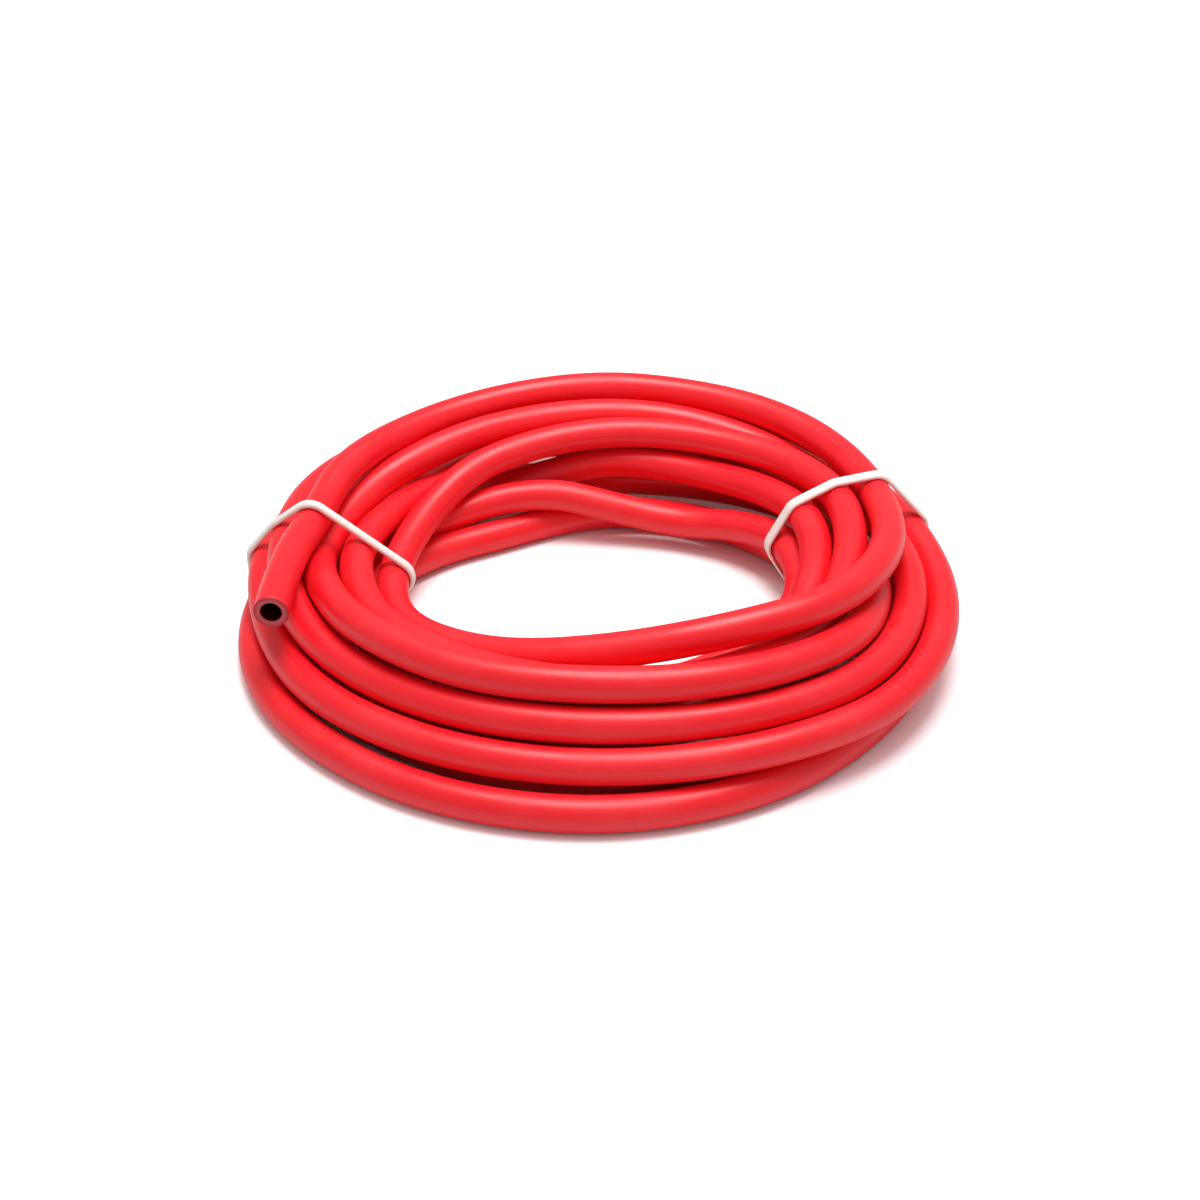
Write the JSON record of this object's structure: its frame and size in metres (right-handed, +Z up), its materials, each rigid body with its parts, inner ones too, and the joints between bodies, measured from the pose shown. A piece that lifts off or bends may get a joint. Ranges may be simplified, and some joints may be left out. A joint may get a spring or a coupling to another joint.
{
  "type": "rubber vacuum tubing",
  "caption": "Loose coil of thick-walled red rubber tubing, held by two pale elastic ties, for carrying vacuum or gas between glassware and pump.",
  "frame": {"origin": "on the surface that the coil lies on, under the middle of its box", "axes": "+Z up out of the surface, through the coil's eye; +X from the left tie, which holds the free end, to the right tie; the free end's cut face looks to -Y"},
  "size_m": [0.2158, 0.2088, 0.042],
  "materials": {
    "tubing": "smooth satin red rubber, with a faint bloom and fine extrusion lines",
    "tie": "off-white elastic band, matt"
  },
  "bodies": {
    "root": {"free_end": "tubing", "turn_1": "tubing", "turn_2": "tubing", "turn_3": "tubing", "turn_4": "tubing", "turn_5": "tubing", "turn_6": "tubing", "turn_7": "tubing", "turn_8": "tubing", "turn_9": "tubing", "turn_10": "tubing", "inner_end": "tubing", "tie_left": "tie", "tie_right": "tie"}
  },
  "joints": []
}
